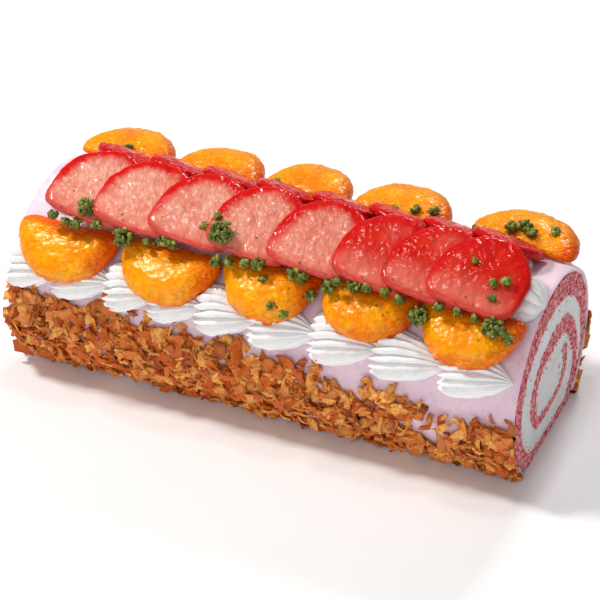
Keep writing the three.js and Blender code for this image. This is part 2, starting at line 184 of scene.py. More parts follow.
# The shape of a mandarin segment, its juice sacs and its tones, with painted shade among them
MANDARIN_DEPTH = {"front": 21.0, "back": 22.0}
MANDARIN_THICKNESS = 11.0
MANDARIN_UNDERSIDE = 0.6
MANDARIN_TAPER = 0.34
MANDARIN_OUTER_SHARE = 0.62
MANDARIN_BOW_SET = 0.1
MANDARIN_BOW_BEND = 0.24
MANDARIN_END_POWER = 0.8
MANDARIN_CROWN_POWER = 0.85
MANDARIN_MESH = (160, 84)
SACS_PER_DEGREE = 0.34
SAC_LENGTH = 3.4
SAC_HEIGHT = 1.5
SAC_GROOVE = 0.26
MANDARIN_FROTH = 0.5
MANDARIN_SHRINK = 0.25
# Deeper orange at the inner edge: painted shade where the front row lies under the slices, with the
# fruit's own deeper tone
MANDARIN_INNER_TONE_AND_SHADE = {"front": 0.9, "back": 0.15}
MANDARIN_FLECKS = {"front": 0.85, "back": 0.9}

# Each segment's x, y, z, length, slope, yaw and bank
MANDARINS = {
    "front": (
        (-68.8, -33.4, 49.6, 36.8, 38, 2, 0),
        (-31.8, -33, 49.8, 36, 38, -2, 0),
        (3.5, -31.4, 51.6, 33.4, 35, 2, 0),
        (37.2, -30.2, 52.4, 33.4, 32, -1, 0),
        (71.3, -30.7, 52.1, 34.2, 33, -3, 0),
    ),
    "back": (
        (-75, 29.8, 54.2, 34, 9, 3, 0),
        (-39.7, 29.8, 54.2, 32.5, 9, -2, 0),
        (-7, 29.8, 55.3, 31.5, 9, 2, 0),
        (27.7, 29.8, 55.5, 34.5, 8, 0, 0),
        (71.5, 29.8, 55.5, 37, 8, -7, 2),
    ),
}

# The shape of a strawberry slice
SLICE_MESH = (168, 72)
SLICE_THICKNESS = 2.7
SLICE_HEIGHT = 30.5
SLICE_TAPER = 0.08
SLICE_STEM_POWER = 0.5
SLICE_SLANT = 0.1
SLICE_EDGE_FROM = 0.88
SLICE_BULGE = 0.9
SLICE_WRINKLE = 0.24
SEED_DIMPLE = 0.3

# Each row's y, z, lean, tilt and scales across and along a slice, the slices' places along the
# roll, and how ripe the front ones are
SLICE_ROWS = {"front": (-17.9, 68, 20.5, 12.5, 1, 1), "back": (8, 64.6, 29, -9.8, 0.8, 0.73)}
SLICE_PLACES = {
    "front": (-62.5, -45.3, -24.8, -4.3, 17.2, 39.2, 56.2, 71.2),
    "back": (-65, -45, -25.5, -6, 14, 34, 53, 70),
}
SLICE_RIPENESS = (0.0, 0.05, 0.1, 0.2, 0.25, 1.0, 0.95, 1.0)

# Chopped nuts: place along and across the roll, and the radius of the lump that lies there. It
# rests midway between two landings, a seam's reach in front of its place and behind it.
NUT_LUMPS = (
    (-73, -32.3, 1.7), (-68, -33.1, 1.4), (-64, -32.3, 2.4), (-62, -30, 3.5), (-57, -32.3, 1.5),
    (-47, -32.3, 4.1), (-39, -32.3, 1.1), (-33, -32.3, 2.2), (-30, -32.3, 1.8), (-21, -25, 1.3),
    (-17, -24, 1.2), (-13, -30.3, 4.6), (-14, -32.3, 2.2), (-9, -33.1, 1.7), (-4, -32.3, 1.5),
    (1, -32.3, 2.3), (3, -33.1, 1.1), (13, -32.3, 2.1), (16, -32.3, 2), (19, -32.3, 1.6),
    (25, -32.3, 2.1), (28, -32.3, 1.6), (34, -32.3, 2.4), (38, -32.3, 1.8), (44, -32.3, 1.5),
    (49, -32.3, 1.3), (55, -32.3, 3.2), (57, -33.1, 1.6), (62, -32.3, 1.4), (68, -32.3, 1.3),
    (74, -32.3, 1.1), (80, -32.3, 3.9), (85, -32.3, 1.7), (68, -17, 1.1), (76, -22, 1.4),
    (79, -20, 1.4), (77, -26, 1.1), (12, -38, 1.8), (8, -39, 1.5), (-74, 22, 1.7), (-32, 20, 1.5),
    (-22, 20, 1.6), (-17, 21, 1.3), (26, 21, 1.3), (33, 22, 1.6), (39, 23, 1.8), (51, 21, 2.5),
    (54, 22, 1.8), (66, 23, 2.1), (70, 25, 2.2), (73, 23, 1.8), (80, 26, 1.3),
)
SEAM_REACH = 1.2

# Single grains, and the radii of grains that lie loose, in a lump or rolled off one
LOOSE_GRAINS = 60
LOOSE_SEAM_SHARE = 0.75
LOOSE_RADII = (0.2, 0.42)
LUMP_RADII = (0.5, 1.0)
ROLLED_RADII = (0.25, 0.45)
ROLLED_GRAINS = 4
GLINT_SHARE = 0.16

# The camera of the photograph
CAMERA_TARGET = (0.0014, -0.001, 0.0298)
CAMERA_DISTANCE = 0.801
CAMERA_AZIMUTH = 24.0
CAMERA_ELEVATION = 33.1
CAMERA_LENS = 144.0
CAMERA_SENSOR = 36

# Each lamp's place, watts, width and colour, then the share of light from all round
LAMPS = {
    "key": ((-0.5, -0.1, 0.8), 5.7, 0.14, (1.0, 0.98, 0.95)),
    "fill": ((0.1, -0.9, 0.42), 2.9, 0.6, (0.98, 0.98, 1.0)),
    "rim": ((0.0, 0.7, 0.7), 2.8, 0.12, (1.0, 0.99, 0.97)),
    "glint": ((-0.06, 0.12, 0.95), 0.8, 0.08, (1.0, 1.0, 1.0)),
}
WORLD_LIGHT = 0.27
FLOOR_SIZE = 6
FLOOR_DROP = 0.0002


def linear(red, green, blue):
    """A colour given in 0 to 255 screen values, as the linear values that Blender works in."""
    shares = (value / 255 for value in (red, green, blue))
    return tuple(s / 12.92 if s <= 0.04045 else ((s + 0.055) / 1.055) ** 2.4 for s in shares)


def colour_property(name, description, red, green, blue):
    return bpy.props.FloatVectorProperty(
        name=name, description=description, default=linear(red, green, blue), size=3,
        min=0, max=1, subtype="COLOR",
    )


class CakeSizes(bpy.types.PropertyGroup):
    """Sizes and amounts that a user would change."""

    roll_length: bpy.props.FloatProperty(
        name="Roll length", description="Length of the roll between its two cut ends",
        default=0.18, unit="LENGTH")
    coat_thickness: bpy.props.FloatProperty(
        name="Icing thickness", description="Thickness of the icing over the sponge",
        default=0.002, unit="LENGTH")
    flakes_per_side: bpy.props.IntProperty(
        name="Flakes a side", description="Number of wafer flakes on each side", default=1750)
    flake_length: bpy.props.FloatProperty(
        name="Longest flake", description="Length of the longest wafer flakes",
        default=0.0095, unit="LENGTH")
    shell_radius: bpy.props.FloatProperty(
        name="Shell radius", description="Radius of a piped shell at its head",
        default=0.0074, unit="LENGTH")
    shell_ridges: bpy.props.IntProperty(
        name="Shell ridges", description="Ridges that the nozzle leaves round a shell", default=16)
    slice_width: bpy.props.FloatProperty(
        name="Slice width", description="Width of a strawberry slice", default=0.03, unit="LENGTH")
    nut_grains: bpy.props.IntProperty(
        name="Grains a lump", description="How many grains make up the lumps of chopped nuts",
        default=26)


class CakeColours(bpy.types.PropertyGroup):
    """Colours that a user would change."""

    sponge: colour_property("Sponge", "Sponge between its pores", 250, 160, 164)
    # Painted shade in the sponge's pores, and also the darker tone of the loose crumbs
    sponge_dark_and_pore_shade: colour_property("Sponge pores", "Sponge in its pores and crust", 206, 58, 72)
    filling: colour_property("Filling", "Cream in the roll", 240, 240, 242)
    icing: colour_property("Icing", "Cream spread over the roll", 231, 201, 217)
    wafer: colour_property("Wafer", "Baked face of the wafer flakes", 206, 96, 12)
    wafer_pale: colour_property("Wafer, pale", "Palest wafer flakes", 252, 190, 92)
    wafer_dark: colour_property("Wafer, dark", "Darkest wafer flakes and edges", 102, 26, 0)
    cream: colour_property("Piped cream", "Piped shells and cords", 252, 251, 248)
    mandarin: colour_property("Mandarin", "Bright middle of a segment", 252, 150, 0)
    # Painted shade at a segment's right end, lower side, sac grooves and inner edge, with the froth's
    # deeper tone
    mandarin_deep_and_shade: colour_property(
        "Mandarin, deep", "Inner edge and underside of a segment", 228, 76, 0)
    mandarin_pith: colour_property("Mandarin skin", "Frosty flecks of skin on a segment", 255, 206, 110)
    skin: colour_property("Strawberry skin", "Red rim of a slice", 198, 4, 6)
    flesh: colour_property("Strawberry flesh", "Pale middle of a slice", 224, 152, 130)
    ripe: colour_property("Ripe flesh", "Middle of the ripest slices", 216, 40, 12)
    nut: colour_property("Nut", "Chopped nuts", 146, 156, 48)
    nut_dark: colour_property("Nut, dark", "Darkest grains", 50, 62, 12)


def sizes():
    return bpy.context.scene.cake_sizes


def colours():
    return bpy.context.scene.cake_colours


# Patterns in space, worked out for whole arrays of points


def lattice_draw(index, seed):
    """A repeatable draw between 0 and 1 for each whole-numbered lattice point."""
    code = index[:, 0] * 73856093 ^ index[:, 1] * 19349663 ^ index[:, 2] * 83492791
    code = (code ^ seed * 2654435) & 0x7FFFFFFF
    code = (code ^ (code >> 13)) * 1274126177 & 0x7FFFFFFF
    code = (code ^ (code >> 15)) * 1911520717 & 0x7FFFFFFF
    return (code ^ (code >> 14)) % 65536 / 65535


def noise(points, size, seed=0):
    """Smooth noise between -1 and 1 with lumps about one size wide."""
    places = points / size + 0.37 * seed
    base = np.floor(places).astype(np.int64)
    part = places - base
    part = part * part * (3 - 2 * part)
    total = np.zeros(len(points))
    for corner in itertools.product((0, 1), repeat=3):
        weight = np.prod(np.where(corner, part, 1 - part), axis=1)
        total += weight * lattice_draw(base + corner, seed)
    return 2 * total - 1


def rough(points, size, seed=0, octaves=3):
    """Noise with finer and weaker copies of itself added."""
    return sum(noise(points, size / 2**i, seed + i) / 2**i for i in range(octaves))


def cells(points, size, seed=0):
    """Distances to the nearest and next scattered point, as shares of the spacing."""
    places = points / size
    base = np.floor(places).astype(np.int64)
    nearest = np.full(len(points), 9.0)
    second = np.full(len(points), 9.0)
    for step in itertools.product((-1, 0, 1), repeat=3):
        corner = base + step
        jitter = np.stack([lattice_draw(corner, seed + axis) for axis in range(3)], axis=1)
        distance = np.linalg.norm(corner + jitter - places, axis=1)
        second = np.minimum(second, np.maximum(nearest, distance))
        nearest = np.minimum(nearest, distance)
    return nearest, second


def smoothstep(values, low, high):
    share = np.clip((values - low) / (high - low), 0, 1)
    return share * share * (3 - 2 * share)


def signed_power(values, power):
    return np.sign(values) * np.abs(values) ** power


# The roll's section


def oval_radius(angle):
    return 1 / np.hypot(np.cos(angle) / HALF_WIDTH, np.sin(angle) / HALF_HEIGHT)


def sponge_radius(angle):
    """Distance from the roll's axis to the sponge's outer face, with its flat foot."""
    down = np.minimum(np.sin(angle), -1e-6)
    return np.minimum(oval_radius(angle), np.where(np.sin(angle) < 0, -AXIS_HEIGHT / down, 1e9))


def section_point(angle, radius):
    return radius * np.cos(angle), AXIS_HEIGHT + radius * np.sin(angle)


def sheet_radius(turns, depth):
    angle = SHEET_START + TAU * turns
    outer = sponge_radius(angle)
    outer = outer + 0.5 * np.minimum(1, depth / ROUNDED_FROM_DEPTH) * (oval_radius(angle) - outer)
    return outer - depth * (1 + SAG * np.sin(angle))


def sheet_depth(turns):
    past = np.maximum(0, turns - 1)
    return DIVE_DEPTH * smoothstep(past, 0, SHEET_TAPER) + DEPTH_PER_TURN * past


def sheet_thickness(turns):
    first, last = SHEET_THICKNESS
    full = first + (last - first) * np.clip(turns - 1, 0, 1)
    return full * smoothstep(turns, 0, SHEET_TAPER)


def coat_radius(angle):
    return sponge_radius(angle) + GAP + sizes().coat_thickness / MM


# Mesh tools


def half_length():
    return sizes().roll_length / MM / 2


def start_fresh():
    bpy.ops.object.select_all(action="DESELECT")


def pick(piece):
    start_fresh()
    piece.select_set(True)
    bpy.context.view_layer.objects.active = piece


def rename(name):
    piece = bpy.context.object
    piece.name = name
    piece.data.name = name
    return piece


def new_grid(name, columns, rows):
    """A flat grid about the origin, one wide and one deep."""
    start_fresh()
    bpy.ops.mesh.primitive_grid_add(x_subdivisions=columns, y_subdivisions=rows, size=1)
    return rename(name)


def new_ball(name, segments, rings):
    start_fresh()
    bpy.ops.mesh.primitive_uv_sphere_add(segments=segments, ring_count=rings, radius=1)
    return rename(name)


def points_of(piece):
    flat = np.empty(3 * len(piece.data.vertices))
    piece.data.vertices.foreach_get("co", flat)
    return flat.reshape(-1, 3)


def set_points(piece, points):
    """Writes points given in millimetres to the piece's mesh."""
    piece.data.vertices.foreach_set("co", (points * MM).ravel())
    piece.data.update()


def apply_modifier(piece, kind, **settings):
    pick(piece)
    modifier = piece.modifiers.new(kind.title(), kind)
    for name, value in settings.items():
        setattr(modifier, name, value)
    bpy.ops.object.modifier_apply(modifier=modifier.name)


def merge_and_face_out(piece, distance=1e-6):
    """Merges doubles, closes poles and turns every face outwards."""
    pick(piece)
    bpy.ops.object.mode_set(mode="EDIT")
    bpy.ops.mesh.select_all(action="SELECT")
    bpy.ops.mesh.remove_doubles(threshold=distance)
    bpy.ops.mesh.normals_make_consistent(inside=False)
    bpy.ops.object.mode_set(mode="OBJECT")


def shade(piece, angle=None):
    """Smooth shading, with edges sharper than an angle in degrees left sharp."""
    pick(piece)
    if angle is None:
        bpy.ops.object.shade_smooth()
    else:
        bpy.ops.object.shade_smooth_by_angle(angle=math.radians(angle))


def store(piece, name, values):
    """Keeps one number or one vector for each point of the piece, for its material to read."""
    is_vector = values.ndim == 2
    layer = piece.data.attributes.new(name, "FLOAT_VECTOR" if is_vector else "FLOAT", "POINT")
    layer.data.foreach_set("vector" if is_vector else "value", values.astype(np.float32).ravel())


def settle(piece, material, slot, *nodes):
    """Gives a finished piece its material and its body, and hides the part's nodes that it stands for.
    Its slot is not used.
    """
    piece.data.materials.clear()
    piece.data.materials.append(material)
    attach(piece, BODY)
    if nodes:
        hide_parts(*nodes)


def joined_copies(name, template, copies):
    """One mesh of many copies: the template's faces over each copy's own points."""
    faces = [tuple(face.vertices) for face in template.data.polygons]
    count = len(template.data.vertices)
    all_faces = [tuple(i + k * count for i in face) for k in range(len(copies)) for face in faces]
    mesh = bpy.data.meshes.new(name)
    mesh.from_pydata((np.concatenate(copies) * MM).tolist(), [], all_faces)
    piece = bpy.data.objects.new(name, mesh)
    bpy.context.collection.objects.link(piece)
    bpy.data.objects.remove(template)
    return piece


def turn_matrix(x_angle, y_angle, z_angle):
    """Turns in degrees: first about Y, then X, then Z."""
    about = (("Z", z_angle), ("X", x_angle), ("Y", y_angle))
    turns = [Matrix.Rotation(math.radians(angle), 4, axis) for axis, angle in about]
    return turns[0] @ turns[1] @ turns[2]


def placed(points, turn, place):
    return points @ np.array(turn.to_3x3()).T + np.array(place)


# Material tools


def add_node(tree, kind, inputs=None, **settings):
    """A node with its settings, and its inputs linked from sockets or set to values."""
    made = tree.nodes.new(kind)
    for name, value in settings.items():
        setattr(made, name, value)
    for name, value in (inputs or {}).items():
        if isinstance(value, bpy.types.NodeSocket):
            tree.links.new(value, made.inputs[name])
        else:
            made.inputs[name].default_value = value
    return made


def opaque(colour):
    return (*colour[:3], 1.0)


def grain_group():
    """Noise in space as a mask and as a height, shared by every finish."""
    group = bpy.data.node_groups.get("food_grain")
    if group:
        return group
    group = bpy.data.node_groups.new("food_grain", "ShaderNodeTree")
    group.interface.new_socket(name="Vector", in_out="INPUT", socket_type="NodeSocketVector")
    for in_out, names in (("INPUT", ("Scale", "Low", "High")), ("OUTPUT", ("Mask", "Height"))):
        for name in names:
            group.interface.new_socket(name=name, in_out=in_out, socket_type="NodeSocketFloat")
    given = group.nodes.new("NodeGroupInput").outputs
    result = group.nodes.new("NodeGroupOutput").inputs
    inputs = {"Vector": given["Vector"], "Scale": given["Scale"], "Detail": 5.0, "Roughness": 0.6}
    value = add_node(group, "ShaderNodeTexNoise", inputs).outputs["Fac"]
    mask = add_node(group, "ShaderNodeMapRange",
                    {"Value": value, "From Min": given["Low"], "From Max": given["High"]}, clamp=True)
    group.links.new(mask.outputs["Result"], result["Mask"])
    group.links.new(value, result["Height"])
    return group


class Finish:
    """A food material under construction."""

    def __init__(self, name, **shader_values):
        self.material = bpy.data.materials.new(name)
        self.material.use_nodes = True
        self.tree = self.material.node_tree
        self.shader = self.tree.nodes["Principled BSDF"]
        for label, value in shader_values.items():
            self.shader.inputs[label.replace("_", " ")].default_value = value
        coordinates = self.tree.nodes.new("ShaderNodeTexCoord")
        self.place = coordinates.outputs["Object"]

    def attribute(self, name, kind="Fac"):
        return add_node(self.tree, "ShaderNodeAttribute", attribute_name=name).outputs[kind]

    def grain(self, size, low=0.35, high=0.65, vector=None):
        """Noise with lumps of one size, in metres or a given place's units: its mask and height."""
        inputs = {"Vector": vector or self.place, "Scale": 1 / size, "Low": low, "High": high}
        made = add_node(self.tree, "ShaderNodeGroup", inputs, node_tree=grain_group())
        return made.outputs["Mask"], made.outputs["Height"]

    def mix(self, factor, first, second):
        """The colour between two, where the factor is a socket and each colour a socket or values."""
        inputs = {0: factor, 6: first, 7: second}
        for index in (6, 7):
            if not isinstance(inputs[index], bpy.types.NodeSocket):
                inputs[index] = opaque(inputs[index])
        return add_node(self.tree, "ShaderNodeMix", inputs, data_type="RGBA").outputs[2]

    def roughness(self, factor, low, high):
        inputs = {"Value": factor, "To Min": low, "To Max": high}
        made = add_node(self.tree, "ShaderNodeMapRange", inputs, clamp=True)
        self.tree.links.new(made.outputs["Result"], self.shader.inputs["Roughness"])

    def finished(self, colour, height=None, depth=0.0):
        """The material, given its colour and its relief, a height with a depth in metres."""
        self.tree.links.new(colour, self.shader.inputs["Base Color"])
        if height is not None:
            inputs = {"Height": height, "Distance": depth, "Strength": 1.0}
            made = add_node(self.tree, "ShaderNodeBump", inputs)
            self.tree.links.new(made.outputs["Normal"], self.shader.inputs["Normal"])
        return self.material


def shade_sponge():
    finish = Finish("sponge_crumb", Roughness=0.85, Subsurface_Weight=0.2, Subsurface_Scale=0.001,
                    Subsurface_Radius=(1.0, 0.4, 0.4))
    patches, _ = finish.grain(0.006)
    fine, height = finish.grain(0.0014, 0.42, 0.56)
    tone = finish.mix(patches, colours().sponge, linear(254, 204, 206))
    tone = finish.mix(fine, linear(212, 40, 56), tone)
    # Darker in the pores: painted shade in them, mixed with the mask's random crumb noise
    tone = finish.mix(finish.attribute("pore"), tone, colours().sponge_dark_and_pore_shade)
    return finish.finished(tone, height, 0.0005)


def shade_filling():
    finish = Finish("filling_cream", Roughness=0.55, Subsurface_Weight=0.3, Subsurface_Scale=0.002,
                    Subsurface_Radius=(1.0, 0.9, 0.8))
    smear, height = finish.grain(0.004)
    shadow = tuple(0.9 * value for value in colours().filling)
    tone = finish.mix(smear, shadow, colours().filling)
    specks, _ = finish.grain(0.0011, 0.66, 0.74)
    return finish.finished(finish.mix(specks, tone, linear(234, 200, 206)), height, 0.0006)


def shade_icing():
    finish = Finish("lilac_icing", Roughness=0.5, Subsurface_Weight=0.25, Subsurface_Scale=0.002,
                    Subsurface_Radius=(1.0, 0.8, 0.9))
    clouds, _ = finish.grain(0.018, 0.3, 0.7)
    fine, height = finish.grain(0.0025)
    tone = finish.mix(clouds, linear(223, 189, 207), colours().icing)
    finish.roughness(fine, 0.42, 0.6)
    return finish.finished(finish.mix(fine, tone, linear(235, 211, 223)), height, 0.0001)


def shade_wafer():
    finish = Finish("toasted_wafer", Roughness=0.4, Specular_IOR_Level=0.4)
    tone = finish.mix(finish.attribute("toast"), colours().wafer_pale, colours().wafer)
    tone = finish.mix(finish.attribute("burnt"), tone, colours().wafer_dark)
    blisters, height = finish.grain(0.0012, 0.4, 0.7)
    tone = finish.mix(blisters, tone, colours().wafer)
    finish.roughness(blisters, 0.4, 0.7)
    return finish.finished(tone, height, 0.00012)


def shade_cream():
    finish = Finish("piped_cream", Roughness=0.42, Subsurface_Weight=0.2, Subsurface_Scale=0.0012,
                    Subsurface_Radius=(1.0, 0.9, 0.8))
    soft, height = finish.grain(0.003)
    tone = finish.mix(soft, linear(246, 246, 246), colours().cream)
    finish.roughness(soft, 0.36, 0.5)
    # Greyer in the creases between the nozzle's ridges: painted shade
    tone = finish.mix(finish.attribute("crease_shade"), tone, linear(228, 226, 226))
    return finish.finished(tone, height, 0.00015)


def shade_mandarin():
    finish = Finish("mandarin_flesh", Roughness=0.3, Subsurface_Weight=0.1, Subsurface_Scale=0.002,
                    Coat_Weight=0.3, Coat_Roughness=0.22, Specular_IOR_Level=0.3,
                    Specular_Tint=opaque(linear(255, 214, 90)), Subsurface_Radius=(1.0, 0.5, 0.05))
    local = finish.attribute("segment_place", "Vector")
    streaks, height = finish.grain(0.9, 0.35, 0.7, local)
    clouds, _ = finish.grain(5.0, 0.35, 0.65, local)
    tone = finish.mix(clouds, colours().mandarin, linear(255, 188, 8))
    tone = finish.mix(streaks, tone, linear(248, 136, 0))
    # Deeper orange: painted shade at the right end, lower side, sac grooves and under the slices, with
    # random tone and the froth's deeper rim
    tone = finish.mix(finish.attribute("deep_tone_and_shade"), tone, colours().mandarin_deep_and_shade)
    inputs = {0: finish.attribute("fleck"), 1: streaks}
    flecks = add_node(finish.tree, "ShaderNodeMath", inputs, operation="MULTIPLY").outputs[0]
    return finish.finished(finish.mix(flecks, tone, colours().mandarin_pith), height, 0.00014)


def shade_strawberry():
    finish = Finish("strawberry_slice", Roughness=0.5, Subsurface_Weight=0.05, Subsurface_Scale=0.001,
                    Coat_Weight=0.5, Coat_Roughness=0.18, Specular_IOR_Level=0.0,
                    Subsurface_Radius=(1.0, 0.3, 0.25))
    wrinkle_place = finish.attribute("wrinkle_place", "Vector")
    fibres, _ = finish.grain(0.7, 0.35, 0.65, finish.attribute("fibre_place", "Vector"))
    cloud, _ = finish.grain(5.0, 0.35, 0.65, wrinkle_place)
    wrinkles, height = finish.grain(1.3, 0.45, 0.75, wrinkle_place)
    pale = finish.mix(cloud, colours().flesh, linear(220, 126, 102))
    pale = finish.mix(wrinkles, pale, linear(238, 186, 164))
    ripe = finish.mix(cloud, colours().ripe, linear(200, 14, 6))
    flesh = finish.mix(finish.attribute("ripeness"), pale, ripe)
    flesh = finish.mix(finish.attribute("stem"), flesh, linear(232, 138, 116))
    red = finish.mix(fibres, colours().skin, linear(214, 16, 10))
    return finish.finished(finish.mix(finish.attribute("redness"), flesh, red), height, 0.0003)


def shade_nuts():
    finish = Finish("chopped_nuts", Roughness=0.36)
    grain, height = finish.grain(0.0008)
    tone = finish.mix(finish.attribute("tone"), colours().nut_dark, colours().nut)
    tone = finish.mix(finish.attribute("glint"), tone, linear(186, 196, 84))
    return finish.finished(finish.mix(grain, linear(84, 98, 24), tone), height, 0.0001)


def shade_crumbs():
    finish = Finish("loose_sponge_crumb", Roughness=0.8)
    grain, height = finish.grain(0.0008)
    return finish.finished(finish.mix(grain, colours().sponge_dark_and_pore_shade, colours().sponge), height, 0.0003)


def shade_floor():
    finish = Finish("pale_floor", Roughness=0.6)
    cloud, _ = finish.grain(0.2)
    return finish.finished(finish.mix(cloud, linear(250, 249, 250), linear(252, 252, 252)))


# Pieces


def spiral_slab(name, turns, outer, inner, rows):
    """A slab through the roll between two spirals, with fine faces at its two cut ends."""
    columns = len(turns) - 1
    piece = new_grid(name, columns, rows)
    unit = points_of(piece) + (0.5, 0.5, 0)
    at = unit[:, 0] * columns
    turn = np.interp(at, range(columns + 1), turns)
    far = np.interp(at, range(columns + 1), outer)
    near = np.interp(at, range(columns + 1), inner)
    across, up = section_point(SHEET_START + TAU * turn, far + (near - far) * unit[:, 1])
    half = half_length()
    set_points(piece, np.stack([np.full(len(at), half), across, up], axis=1))
    apply_modifier(piece, "SOLIDIFY", thickness=2 * half * MM, offset=-1, use_even_offset=False)
    points = points_of(piece) / MM
    grew_outwards = points[:, 0].max() > half + 1
    if grew_outwards:
        points[:, 0] -= 2 * half
        set_points(piece, points)
    merge_and_face_out(piece)
    return piece


def turn_steps(first, last, step_mm):
    """Turns from first to last in steps of about one length along the sheet."""
    samples = np.linspace(first, last, 400)
    radius = sheet_radius(samples, sheet_depth(samples))
    lengths = np.concatenate([[0], np.cumsum(TAU * np.diff(samples) * radius[1:])])
    return np.interp(np.linspace(0, lengths[-1], int(lengths[-1] / step_mm)), lengths, samples)


class CAKE_OT_sponge(bpy.types.Operator):
    """Roll up the sponge sheet, with open pores at both cut ends"""

    bl_idname = "cake.sponge"
    bl_label = "Sponge"

    def execute(self, context):
        step, rows = SPONGE_MESH
        turns = turn_steps(*SHEET_SPAN, step)
        depth = sheet_depth(turns)
        outer = sheet_radius(turns, depth)
        inner = sheet_radius(turns, depth + sheet_thickness(turns))
        piece = spiral_slab("sponge_roll", turns, outer, inner, rows)
        points = points_of(piece) / MM
        end = np.sign(points[:, 0])
        nearest, _ = cells(points, PORE_SPACING, 3)
        fine, _ = cells(points, FINE_PORE_SPACING, 9)
        pore = np.clip(smoothstep(-nearest, -0.5, -0.12) + 0.6 * smoothstep(-fine, -0.42, -0.1), 0, 1)
        points[:, 0] -= end * (PORE_DEPTH * pore + SPONGE_SET_BACK * (1 + rough(points, 3, 5)))
        off_floor = points[:, 2] > GAP
        for axis, seed in ((1, 11), (2, 17)):
            waver = SPONGE_WAVER * rough(points[off_floor], SPONGE_WAVER_LENGTH, seed)
            points[off_floor, axis] += waver
        points[:, 2] = np.maximum(points[:, 2], 0)
        set_points(piece, points)
        # The pore mask with random noise, for the painted shade in the pores
        store(piece, "pore", np.clip(pore + 0.25 * rough(points, 1.1, 23), 0, 1))
        shade(piece, 60)
        settle(piece, shade_sponge(), "sponge", "sponge")
        return {"FINISHED"}


class CAKE_OT_filling(bpy.types.Operator):
    """Spread the cream between the turns of the sponge, and into the core"""

    bl_idname = "cake.filling"
    bl_label = "Cream filling"

    def execute(self, context):
        step, rows = FILLING_MESH
        turns = turn_steps(FILLING_FROM, SHEET_SPAN[1], step)
        outer = sheet_radius(turns, sheet_depth(turns) + sheet_thickness(turns)) + LAYER_OVERLAP
        inner = sheet_radius(turns + 1, sheet_depth(turns + 1)) - LAYER_OVERLAP
        core_from = SHEET_SPAN[1] - 1
        core = smoothstep(turns, core_from, core_from + 0.01)
        piece = spiral_slab("cream_swirl", turns, outer, inner * (1 - core), rows)
        points = points_of(piece) / MM
        end = np.sign(points[:, 0])
        nearest, _ = cells(points, BUBBLE_SPACING, 31)
        bubble = smoothstep(-nearest, -0.16, -0.04)
        smear = rough(points * (1, 1, 0.35), 2.4, 37)
        points[:, 0] -= end * (FILLING_SET_BACK + FILLING_SMEAR * smear + BUBBLE_DEPTH * bubble)
        set_points(piece, points)
        merge_and_face_out(piece)
        shade(piece, 60)
        settle(piece, shade_filling(), "filling", "cream_filling")
        return {"FINISHED"}


class CAKE_OT_icing(bpy.types.Operator):
    """Spread the icing over the roll from foot to foot"""

    bl_idname = "cake.icing"
    bl_label = "Icing"

    def execute(self, context):
        half = half_length()
        piece = new_grid("icing_coat", ICING_MESH, ICING_MESH)
        unit = points_of(piece) + (0.5, 0.5, 0)
        angle = COAT_SPAN[0] + (COAT_SPAN[1] - COAT_SPAN[0]) * unit[:, 1]
        even = 2 * unit[:, 0] - 1
        crowded = np.sin(even * math.pi / 2)
        along = half * (ICING_CROWDING * crowded + (1 - ICING_CROWDING) * even)
        edge = smoothstep(np.abs(along), half - ICING_EDGE, half)
        radius = coat_radius(angle) - ICING_EDGE_DROP * edge**2
        points = np.stack([along, *section_point(angle, radius)], axis=1)
        waves = ICING_WAVE * rough(points * (0.3, 1, 1), ICING_WAVE_LENGTH, 3)
        waves += ICING_RIPPLE * rough(points, ICING_RIPPLE_LENGTH, 7)
        across, up = section_point(angle, radius + waves - ICING_SUNK)
        set_points(piece, np.stack([along, across, np.maximum(up, ICING_FOOT)], axis=1))
        merge_and_face_out(piece)
        apply_modifier(piece, "SOLIDIFY", thickness=sizes().coat_thickness + GAP * MM, offset=-1)
        across, up = points_of(piece).T[1:] / MM
        if np.hypot(across, up - AXIS_HEIGHT).max() > coat_radius(0) + 2:
            raise RuntimeError("the icing grew outwards")
        merge_and_face_out(piece)
        shade(piece, 60)
        settle(piece, shade_icing(), "icing", "icing")
        return {"FINISHED"}


def angle_at_height(height):
    """Angle at which the coated roll's right side reaches a height."""
    samples = np.linspace(COAT_SPAN[0], math.pi / 2, 200)
    return np.interp(height, section_point(samples, coat_radius(samples))[1], samples)


def flake_template():
    """A flat seven-sided shard, one across and one thick, with points inside to bend it by."""
    start_fresh()
    bpy.ops.mesh.primitive_circle_add(vertices=7, radius=0.5, fill_type="TRIFAN")
    piece = rename("flake_template")
    bpy.ops.object.mode_set(mode="EDIT")
    bpy.ops.mesh.select_all(action="SELECT")
    bpy.ops.mesh.subdivide(number_cuts=1)
    bpy.ops.object.mode_set(mode="OBJECT")
    apply_modifier(piece, "SOLIDIFY", thickness=1, offset=0)
    merge_and_face_out(piece)
    return piece


